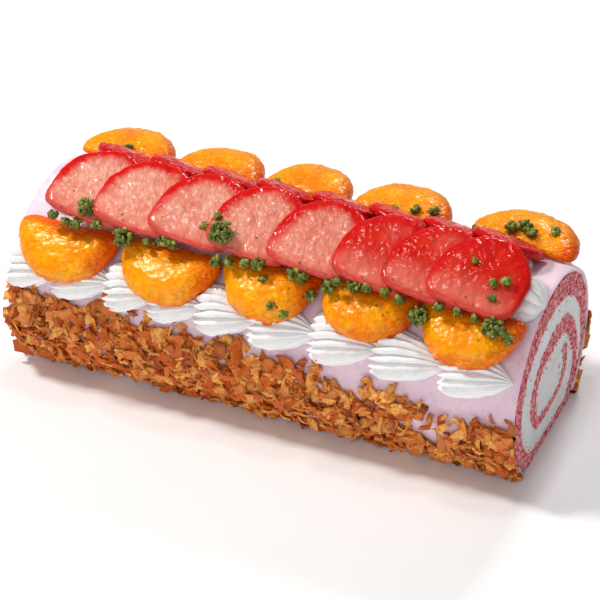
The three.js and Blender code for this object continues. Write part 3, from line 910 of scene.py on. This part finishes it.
class CAKE_OT_flakes(bpy.types.Operator):
    """Press crushed wafer flakes into the lower half of both sides"""

    bl_idname = "cake.flakes"
    bl_label = "Wafer flakes"

    def execute(self, context):
        material = shade_wafer()
        for side_name, side in SIDES.items():
            self.cover(side_name, side, material)
        return {"FINISHED"}

    def cover(self, side_name, side, material):
        draw = np.random.default_rng(100 + side)
        template = flake_template()
        base = points_of(template)
        pairs = np.unique(np.round(base[:, :2], 3), axis=0, return_inverse=True)[1].ravel()
        rim = np.hypot(base[:, 0], base[:, 1]) / 0.5
        half = half_length()
        copies, toasts, burnts = [], [], []
        for _ in range(sizes().flakes_per_side):
            x = draw.uniform(-half - 0.5, half + 0.5)
            height = self.height_at(draw, x, side)
            if height is None:
                continue
            shard = self.shard(draw, base, pairs)
            right = angle_at_height(height)
            angle = right if side > 0 else math.pi - right
            outward = math.atan2(math.sin(angle) / HALF_HEIGHT, math.cos(angle) / HALF_WIDTH)
            across, up = section_point(angle, coat_radius(angle))
            tip = Matrix.Rotation(outward - math.pi / 2, 4, "X")
            copies.append(placed(shard, tip, (x, across, up)))
            toasts.append(np.clip(draw.normal(0.56, 0.6) + draw.normal(0, 0.07, len(base)), 0, 1))
            burnts.append(np.clip(0.6 * (rim - 0.75) + draw.normal(0.12, 0.46), 0, 1))
        piece = joined_copies("wafer_flakes_" + side_name, template, copies)
        set_points(piece, self.kept_in(points_of(piece) / MM, half))
        store(piece, "toast", np.concatenate(toasts))
        store(piece, "burnt", np.concatenate(burnts))
        shade(piece, 35)
        settle(piece, material, "icing")

    def height_at(self, draw, x, side):
        """A height in the band for a flake at a place along the roll, or None on a bare patch."""
        top = BAND_TOP - BAND_FALL * (x + half_length())
        height = BAND_FOOT + (top - BAND_FOOT) * draw.uniform(0, 1) ** 0.95
        if draw.uniform() < STRAY_SHARE:
            height = min(top + draw.uniform(0, STRAY_RISE), STRAY_TOP)
        patch = noise(np.array([[x, side * 40, height]]), BARE_PATCH_WIDTH, 5)[0]
        bare = height > 0.45 * top and patch > 0.5 + 0.35 * (x < 0)
        return None if bare and draw.uniform() < BARE_SHARE else height

    def shard(self, draw, base, pairs):
        """One ragged, bent and tilted flake, lying on the ground at the origin."""
        spread = sizes().flake_length / MM - SHORTEST_FLAKE
        length = SHORTEST_FLAKE + spread * draw.beta(*FLAKE_LENGTH_SPREAD)
        width = length * draw.uniform(*FLAKE_SLIMNESS)
        ragged = base.copy()
        ragged[:, :2] += draw.normal(0, FLAKE_RAGGEDNESS, (pairs.max() + 1, 2))[pairs]
        points = ragged * (length, width, draw.uniform(*FLAKE_THICKNESS))
        bend = draw.uniform(*FLAKE_BEND)
        ripple = draw.normal(0, FLAKE_RIPPLE, pairs.max() + 1)[pairs]
        points[:, 2] += bend * (1 - 4 * ragged[:, 0] ** 2) + ripple
        turn = turn_matrix(*draw.normal(0, FLAKE_TILT, 2), 0)
        spin = Matrix.Rotation(draw.uniform(0, TAU), 4, "Z")
        points = placed(points, turn @ spin, (0, 0, 0))
        points[:, 2] += draw.uniform(0, FLAKE_LIFT) - max(0, points[:, 2].min() + FLAKE_SUNK)
        return points

    def kept_in(self, points, half):
        """Flakes pressed back to where the part's own flakes reach, and off the floor."""
        low, high = (corner[1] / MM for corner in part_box("icing"))
        across, up = points[:, 1], points[:, 2] - AXIS_HEIGHT
        limit = coat_radius(np.arctan2(up, across)) + FLAKE_REACH
        share = np.minimum(1, limit / np.hypot(across, up))
        return np.stack([
            np.clip(points[:, 0], -half - FLAKE_OVERHANG, half + FLAKE_OVERHANG),
            np.clip(across * share, low, high),
            np.maximum(AXIS_HEIGHT + up * share, FLAKE_FLOOR),
        ], axis=1)


def smooth_profile(profile, count=200):
    """Radius and place along a piped body, for shares of the way from its head to its tail."""
    radii, alongs = zip(*profile)
    knots = np.linspace(0, 1, len(profile))
    way = np.linspace(0, 1, count)
    window = np.hanning(count // len(profile) | 1)
    window /= window.sum()
    pad = len(window) // 2
    smoothed = []
    for values in (radii, alongs):
        line = np.interp(way, knots, values)
        before = 2 * line[0] - line[pad:0:-1]
        after = 2 * line[-1] - line[-2 : -pad - 2 : -1]
        smoothed.append(np.convolve(np.concatenate([before, line, after]), window, "valid"))
    smoothed[0][[0, -1]] = 0
    return way, smoothed[0], smoothed[1]


def piped_body(name, profile, mesh, run, look):
    """A piped body along X with ridges from a star nozzle, and teeth where it meets the one before."""
    start, end, y, z, radius = run
    ridges, depth, twist, tooth_size, seed = look
    piece = new_ball(name, *mesh)
    unit = points_of(piece)
    share = np.arccos(np.clip(-unit[:, 2], -1, 1)) / math.pi
    way, radii, alongs = smooth_profile(profile)
    along = start + (end - start) * np.interp(share, way, alongs)
    around = np.arctan2(unit[:, 1], unit[:, 0])
    sine, cosine = np.sin(around), np.cos(around)
    wander = RIDGE_WANDER * noise(np.stack([cosine, sine, share * 2], axis=1) * 4, 1.7, seed)
    phase = (around + twist * share) * ridges / 2 + wander
    crest = np.abs(np.cos(phase)) ** RIDGE_POWER
    tooth = (1 - np.abs(np.sin(phase))) ** RIDGE_POWER
    reach = np.interp(share, way, radii) * radius * (1 - depth + 2 * depth * crest)
    head = smoothstep(share, 0.08, 0.25) * smoothstep(-share, -0.55, -0.25)
    along -= tooth_size * head * (tooth - 0.4)
    points = np.stack([along, y + reach * sine, z + reach * cosine], axis=1)
    off_tips = np.minimum(1, 4 * np.minimum(share, 1 - share))
    wobble = CREAM_UNEVENNESS * rough(points, 2.6, seed) * off_tips
    points += wobble[:, None] * np.stack([np.full(len(share), 0.3), sine, cosine], axis=1)
    points[:, 0] = np.maximum(points[:, 0], start - TOOTH_OVERHANG)
    across, up = points[:, 1], points[:, 2] - AXIS_HEIGHT
    floor = sponge_radius(np.arctan2(up, across)) + CREAM_OVER_SPONGE
    lift = np.maximum(1, floor / np.hypot(across, up))
    points[:, 1] = across * lift
    points[:, 2] = AXIS_HEIGHT + up * lift
    set_points(piece, points)
    # The creases between the ridges, where the painted shade goes
    store(piece, "crease_shade", smoothstep(-crest, -0.5, -0.05))
    shade(piece)
    merge_and_face_out(piece, 1e-7)
    return piece


class CAKE_OT_piping(bpy.types.Operator):
    """Pipe the shells along both shoulders and the two cords along the top"""

    bl_idname = "cake.piping"
    bl_label = "Piped cream"

    def execute(self, context):
        material = shade_cream()
        for side_name, side in SIDES.items():
            for i, start in enumerate(SHELL_HEADS):
                end = SHELL_HEADS[i + 1] - GAP if i + 1 < len(SHELL_HEADS) else SHELL_END
                radius = sizes().shell_radius / MM * (0.9 + 0.1 * min(1, (end - start) / 20))
                run = (start, end, side * SHELL_AT[0], SHELL_AT[1], radius)
                look = (sizes().shell_ridges, SHELL_RIDGE_DEPTH, side * SHELL_TWIST, SHELL_TOOTH,
                        11 * i + 5 * side + 50)
                node = f"shell_{side_name}_{i + 1}"
                piece = piped_body("piped_" + node, SHELL_PROFILE, SHELL_MESH, run, look)
                settle(piece, material, "piped_cream", node)
            look = (CORD_RIDGES, CORD_RIDGE_DEPTH, CORD_TWIST, CORD_TOOTH, 90 + side)
            name = "piped_cord_" + side_name
            piece = piped_body(name, CORD_PROFILE, CORD_MESH, CORDS[side_name], look)
            settle(piece, material, "piped_cream", "cream_ridge_" + side_name)
        return {"FINISHED"}


def mandarin_matrix(side_name, place):
    x, y, z, _, slope, yaw, bank = place
    half_turn = 180 if side_name == "front" else 0
    return turn_matrix(-slope, bank, half_turn + yaw), (x, y, z)


class CAKE_OT_mandarins(bpy.types.Operator):
    """Lay the mandarin segments along both sides"""

    bl_idname = "cake.mandarins"
    bl_label = "Mandarin segments"

    def execute(self, context):
        material = shade_mandarin()
        for side_name, places in MANDARINS.items():
            for i, place in enumerate(places):
                self.lay(side_name, i + 1, place, material)
        return {"FINISHED"}

    def lay(self, side_name, number, place, material):
        node = f"mandarin_{side_name}_{number}"
        front = side_name == "front"
        seed = 7 * number + (0 if front else 40)
        piece = new_ball(node + "_flesh", *MANDARIN_MESH)
        unit = points_of(piece)[:, [2, 0, 1]]
        x, y, z = unit.T
        depth = MANDARIN_DEPTH[side_name]
        local = self.segment(x, y, z, place[3], depth)
        outward = unit / (np.linalg.norm(unit, axis=1)[:, None] + 1e-9)
        hub = np.stack([local[:, 0], local[:, 1] + 0.8 * depth], axis=1)
        spoke = np.degrees(np.arctan2(hub[:, 0], hub[:, 1])) * SACS_PER_DEGREE
        reach = np.hypot(hub[:, 0], hub[:, 1])
        sac_place = np.stack([spoke, reach / SAC_LENGTH, local[:, 2] / SAC_HEIGHT], axis=1)
        nearest, second = cells(sac_place, 1.0, seed)
        groove = smoothstep(nearest - second, -0.22, 0)
        outer_rim = smoothstep(y, 0.45, 0.95)
        swell = 0.35 * noise(local, 7, seed) + 0.2 * rough(local, 2.2, seed + 3) - SAC_GROOVE * groove
        swell += MANDARIN_FROTH * outer_rim * rough(local, 1.9, seed + 11)
        local += outward * (swell - MANDARIN_SHRINK)[:, None]
        patchy = smoothstep(noise(local, 2.2, seed + 5), 0, 0.5)
        fleck = np.clip(outer_rim * (0.2 + groove) * patchy, 0, 1)
        # The deep tone mask: painted shade at the inner edge under the slices, at the right end, on the
        # lower side and in the sac grooves, with the froth's deeper outer rim and random tone
        inner = MANDARIN_INNER_TONE_AND_SHADE[side_name] * smoothstep(-y, -0.1, 0.8)
        right_end_shade = smoothstep(-x if front else x, 0.35, 0.95)
        tone = inner + 0.3 * smoothstep(y, 0.7, 1) + 0.8 * right_end_shade
        tone += 0.6 * smoothstep(-z, -0.35, 0.4) + 0.35 * groove + 0.3 * noise(local, 8, seed + 8) - 0.1
        turn, at = mandarin_matrix(side_name, place)
        set_points(piece, placed(local, turn, at))
        streak_place = sac_place * (1, 2, 1) + seed
        store(piece, "segment_place", streak_place)
        store(piece, "deep_tone_and_shade", np.clip(tone, 0, 1))
        store(piece, "fleck", MANDARIN_FLECKS[side_name] * fleck)
        shade(piece)
        settle(piece, material, "mandarin", node)

    def segment(self, x, y, z, length, depth):
        """The plain shape of a segment, from a ball's points: a bowed half disc, thick at its rim."""
        outer = np.where(y > 0, MANDARIN_OUTER_SHARE, 1 - MANDARIN_OUTER_SHARE)
        thickness = MANDARIN_THICKNESS * (1 + MANDARIN_TAPER * y)
        thickness *= np.where(z < 0, MANDARIN_UNDERSIDE, 1)
        return np.stack([
            length / 2 * signed_power(x, MANDARIN_END_POWER),
            depth * (y * outer - MANDARIN_BOW_SET - MANDARIN_BOW_BEND * x * x),
            thickness / 2 * signed_power(z, MANDARIN_CROWN_POWER),
        ], axis=1)


def slice_matrix(side_name, place_along):
    y, z, lean, tilt, _, _ = SLICE_ROWS[side_name]
    half_turn = 0 if side_name == "front" else 180
    return turn_matrix(lean, tilt, half_turn), (place_along, y, z)


class CAKE_OT_strawberries(bpy.types.Operator):
    """Shingle the strawberry slices along the top, front row and back row"""

    bl_idname = "cake.strawberries"
    bl_label = "Strawberry slices"

    def execute(self, context):
        material = shade_strawberry()
        for side_name, places in SLICE_PLACES.items():
            for i, along in enumerate(places):
                self.lay(side_name, i, along, material)
        return {"FINISHED"}

    def lay(self, side_name, i, along, material):
        node = f"strawberry_{side_name}_{i + 1}"
        across, lengthwise = SLICE_ROWS[side_name][4:]
        front = side_name == "front"
        seed = 13 * i + (3 if front else 77)
        piece = new_ball(node + "_slice", *SLICE_MESH)
        unit = points_of(piece)
        around = np.arctan2(unit[:, 0], unit[:, 1])
        sine, cosine = np.sin(around), np.cos(around)
        share = (np.arccos(np.clip(np.abs(unit[:, 2]), 0, 1)) / (math.pi / 2)) ** 0.8
        face = np.sign(unit[:, 2])
        circle = np.stack([cosine, sine, 0 * sine], axis=1)
        rim_x, rim_y = self.outline(circle, seed)
        x, y = rim_x * share * across, rim_y * share * lengthwise
        past_face = np.clip((share - SLICE_EDGE_FROM) / (1 - SLICE_EDGE_FROM), 0, 1)
        local = np.stack([x, y, face * SLICE_THICKNESS / 2 * np.sqrt(1 - past_face**2)], axis=1)
        fibre_place = circle * 8
        fibre_place[:, 2] = 2.4 * share + 9 * face + seed
        wrinkle_place = np.stack([x + 0.3 * y, 0.6 * y, 9 * face + seed], axis=1)
        fibre = rough(fibre_place, 1.0, seed)
        nearest, _ = cells(local, 2.0, seed)
        on_rim = smoothstep(share, 0.86, 0.95)
        sink = 0.1 * fibre * smoothstep(share, 0.5, 0.85) * (1 - on_rim)
        sink += SLICE_WRINKLE * rough(wrinkle_place, 1.8, seed + 4) + 0.2 * rough(local, 6, seed + 2)
        sink += SEED_DIMPLE * smoothstep(-nearest, -0.3, -0.05) * on_rim
        local[:, 2] -= face * (sink + 0.1)
        local[:, 2] += SLICE_BULGE * (1 - share**2) * (face > 0) - 0.35
        local[:, :2] *= (1 - 0.012 * on_rim * smoothstep(-nearest, -0.35, -0.1))[:, None]
        turn, at = slice_matrix(side_name, along)
        set_points(piece, placed(local, turn, at))
        ripeness = SLICE_RIPENESS[i] if front else 0.5
        stem = smoothstep(-y / SLICE_HEIGHT * 2 / lengthwise, 0.0, 0.9)
        ragged = 0.05 * fibre + 0.05 * noise(local, 2.4, seed + 6) + 0.07 * noise(local, 8, seed + 7)
        red_from = 0.54 - 0.04 * smoothstep(cosine, -0.2, 0.8) + 0.16 * stem - (0 if front else 0.5)
        redness = smoothstep(share + ragged, red_from, red_from + 0.34) ** 1.3
        redness *= 1 - 0.4 * stem * front
        redness = np.maximum(redness, on_rim * (1 - 0.25 * stem * front))
        store(piece, "fibre_place", fibre_place)
        store(piece, "wrinkle_place", wrinkle_place)
        store(piece, "redness", np.clip(redness, 0, 1))
        store(piece, "ripeness", np.clip(ripeness + 0.15 * noise(local, 8, seed), 0, 1))
        store(piece, "stem", stem * (0.5 + 0.1 * ripeness))
        shade(piece)
        settle(piece, material, "strawberry", node)

    def outline(self, circle, seed):
        """The rim of a slice, in millimetres: round at the tip, squarer and wider at the stem."""
        cosine, sine, _ = circle.T
        ragged = 0.985 + 0.018 * noise(circle * 3, 1.4, seed) + 0.008 * noise(circle * 14, 1.0, seed)
        power = np.where(cosine > 0, 1, SLICE_STEM_POWER)
        reach = (np.abs(sine) ** (2 / power) + np.abs(cosine) ** (2 / power)) ** (-power / 2) * ragged
        y = reach * cosine
        x = reach * sine * (1 - SLICE_TAPER * signed_power(y, 1 / power)) * sizes().slice_width / MM / 2
        y *= SLICE_HEIGHT / 2
        return x + SLICE_SLANT * y, y


def grain_template():
    start_fresh()
    bpy.ops.mesh.primitive_ico_sphere_add(subdivisions=2, radius=1)
    return rename("grain_template")


def surface_of(*kinds):
    """The finished pieces of some kinds as one surface to drop grains on."""
    corners, faces = [], []
    for piece in bpy.data.objects:
        if piece.type == "MESH" and piece.name.startswith(kinds):
            start = len(corners)
            corners += [tuple(vertex.co) for vertex in piece.data.vertices]
            faces += [tuple(start + i for i in face.vertices) for face in piece.data.polygons]
    return BVHTree.FromPolygons(corners, faces)


class CAKE_OT_nuts(bpy.types.Operator):
    """Sprinkle the chopped green nuts in lumps over the fruit and cream"""

    bl_idname = "cake.nuts"
    bl_label = "Chopped nuts"

    def execute(self, context):
        draw = np.random.default_rng(7)
        template = grain_template()
        base = points_of(template)
        surface = surface_of("mandarin", "strawberry", "piped_shell", "icing_coat")
        grains = []
        for x, y, radius in NUT_LUMPS:
            near, far = (self.landing(surface, x, y + reach) for reach in (-SEAM_REACH, SEAM_REACH))
            self.lump(draw, base, (near + far) / 2, radius, grains)
        for _ in range(LOOSE_GRAINS):
            x = draw.uniform(-78, 84)
            on_seam = draw.uniform() < LOOSE_SEAM_SHARE
            y = draw.normal(-31, 3) if on_seam else draw.uniform(-26, 26)
            foot = self.landing(surface, x, y)
            self.grain(draw, base, foot, draw.uniform(*LOOSE_RADII), 0.5, grains)
        copies, tones, glints = zip(*grains)
        piece = joined_copies("nut_grains", template, copies)
        # Random tone, with painted light on the grains that face up
        store(piece, "tone", np.repeat(tones, len(base)))
        store(piece, "glint", np.repeat(glints, len(base)))
        shade(piece)
        settle(piece, shade_nuts(), None)
        return {"FINISHED"}

    def landing(self, surface, x, y):
        """Where a grain dropped at a place along and across the roll comes to rest, in millimetres."""
        hit = surface.ray_cast(Vector((x, y, 120)) * MM, Vector((0, 0, -1)))[0]
        if hit is None:
            raise RuntimeError(f"nothing to land on at {x}, {y}")
        return np.array(hit) / MM

    def lump(self, draw, base, foot, radius, grains):
        """A heap of grains about a foot point, denser inside, with a few that rolled off."""
        count = int(sizes().nut_grains * radius**1.6 / 3)
        for k in range(count + ROLLED_GRAINS):
            direction = draw.normal(0, 1, 3)
            direction /= np.linalg.norm(direction)
            rolled = k >= count
            reach = radius * (draw.uniform(1.1, 1.7) if rolled else draw.uniform(0.2, 0.9) ** 0.6)
            middle = foot + direction * reach * (1, 1, 0.3 if rolled else 0.85)
            middle[2] += 0.45 * radius * (not rolled)
            size = draw.uniform(*(ROLLED_RADII if rolled else LUMP_RADII))
            self.grain(draw, base, middle, size, direction[2], grains)

    def grain(self, draw, base, middle, radius, upward_for_painted_light, grains):
        """Adds one grain with its tone and glint, painted paler where it lies on top of its lump:
        painted light from above.
        """
        lump = base * (1 + 0.22 * noise(base * 2.2 + len(grains), 1.0, 3))[:, None]
        # Grains that face up, loose ones too, are made paler: painted light on the tops of the lumps
        tone = np.clip(draw.uniform(0.1, 0.95) + 0.5 * (upward_for_painted_light > 0.4) - 0.2, 0, 1)
        glint = 0.8 if draw.uniform() < GLINT_SHARE else 0.0
        grains.append((lump * radius * draw.uniform(0.75, 1.2, 3) + middle, tone, glint))


class CAKE_OT_crumbs(bpy.types.Operator):
    """Leave a few loose sponge crumbs on the cut cream"""

    bl_idname = "cake.crumbs"
    bl_label = "Loose crumbs"

    def execute(self, context):
        draw = np.random.default_rng(19)
        template = grain_template()
        base = points_of(template)
        copies = []
        for _ in range(CRUMB_COUNT):
            end = draw.choice((-1, 1))
            turn = draw.uniform(FILLING_FROM + 0.1, SHEET_SPAN[1] - 0.05)
            inner_face = sheet_radius(turn, sheet_depth(turn) + sheet_thickness(turn))
            inward = min(draw.exponential(CRUMB_STRAY), CRUMB_FARTHEST)
            across, up = section_point(SHEET_START + TAU * turn, inner_face - inward)
            radius = draw.uniform(*CRUMB_RADII)
            lump = base * (1 + 0.3 * noise(base * 2 + len(copies), 1.0, 5))[:, None] * radius
            copies.append(lump + (end * (half_length() - CRUMB_SUNK), across, up))
        piece = joined_copies("sponge_crumbs", template, copies)
        shade(piece)
        settle(piece, shade_crumbs(), "sponge")
        return {"FINISHED"}


def add_light(name, place, energy, size, colour):
    data = bpy.data.lights.new(name, "AREA")
    data.energy = energy
    data.size = size
    data.color = colour
    light = bpy.data.objects.new(name, data)
    light.location = place
    light.rotation_euler = (Vector(CAMERA_TARGET) - Vector(place)).to_track_quat("-Z", "Y").to_euler()
    bpy.context.collection.objects.link(light)


class CAKE_OT_stage(bpy.types.Operator):
    """Set the floor, the soft lights and the camera"""

    bl_idname = "cake.stage"
    bl_label = "Floor, lights and camera"

    def execute(self, context):
        start_fresh()
        bpy.ops.mesh.primitive_plane_add(size=FLOOR_SIZE, location=(0, 0, -FLOOR_DROP))
        floor = rename("floor")
        floor.data.materials.append(shade_floor())
        for name, lamp in LAMPS.items():
            add_light(name, *lamp)
        world = bpy.data.worlds.new("soft_studio")
        world.use_nodes = True
        background = world.node_tree.nodes["Background"]
        background.inputs["Color"].default_value = (1.0, 1.0, 1.0, 1.0)
        background.inputs["Strength"].default_value = WORLD_LIGHT
        context.scene.world = world
        data = bpy.data.cameras.new("camera")
        data.lens = CAMERA_LENS
        data.sensor_width = CAMERA_SENSOR
        data.clip_start = 0.01
        camera = bpy.data.objects.new("camera", data)
        azimuth, elevation = math.radians(CAMERA_AZIMUTH), math.radians(CAMERA_ELEVATION)
        back = Vector((math.sin(azimuth) * math.cos(elevation),
                       -math.cos(azimuth) * math.cos(elevation), math.sin(elevation)))
        camera.location = Vector(CAMERA_TARGET) + CAMERA_DISTANCE * back
        camera.rotation_euler = (-back).to_track_quat("-Z", "Y").to_euler()
        context.collection.objects.link(camera)
        context.scene.camera = camera
        context.scene.view_settings.view_transform = "Standard"
        return {"FINISHED"}


class CAKE_PT_panel(bpy.types.Panel):
    """The cake's pieces, sizes and colours"""

    bl_idname = "CAKE_PT_panel"
    bl_label = "Swiss roll cake"
    bl_space_type = "VIEW_3D"
    bl_region_type = "UI"
    bl_category = "Cake"

    def draw(self, context):
        for operator in OPERATORS:
            self.layout.operator(operator.bl_idname)
        for group in (context.scene.cake_sizes, context.scene.cake_colours):
            for name in group.__annotations__:
                self.layout.prop(group, name)


OPERATORS = (
    CAKE_OT_sponge, CAKE_OT_filling, CAKE_OT_icing, CAKE_OT_flakes, CAKE_OT_piping,
    CAKE_OT_mandarins, CAKE_OT_strawberries, CAKE_OT_nuts, CAKE_OT_crumbs, CAKE_OT_stage,
)
CLASSES = (CakeSizes, CakeColours, *OPERATORS, CAKE_PT_panel)


def register():
    for cls in CLASSES:
        bpy.utils.register_class(cls)
    bpy.types.Scene.cake_sizes = bpy.props.PointerProperty(type=CakeSizes)
    bpy.types.Scene.cake_colours = bpy.props.PointerProperty(type=CakeColours)


def unregister():
    del bpy.types.Scene.cake_colours
    del bpy.types.Scene.cake_sizes
    for cls in reversed(CLASSES):
        bpy.utils.unregister_class(cls)


def main():
    register()
    bpy.ops.cake.sponge()
    bpy.ops.cake.filling()
    bpy.ops.cake.icing()
    bpy.ops.cake.flakes()
    bpy.ops.cake.piping()
    bpy.ops.cake.mandarins()
    bpy.ops.cake.strawberries()
    bpy.ops.cake.nuts()
    bpy.ops.cake.crumbs()
    bpy.ops.cake.stage()


if __name__ == "__main__":
    main()
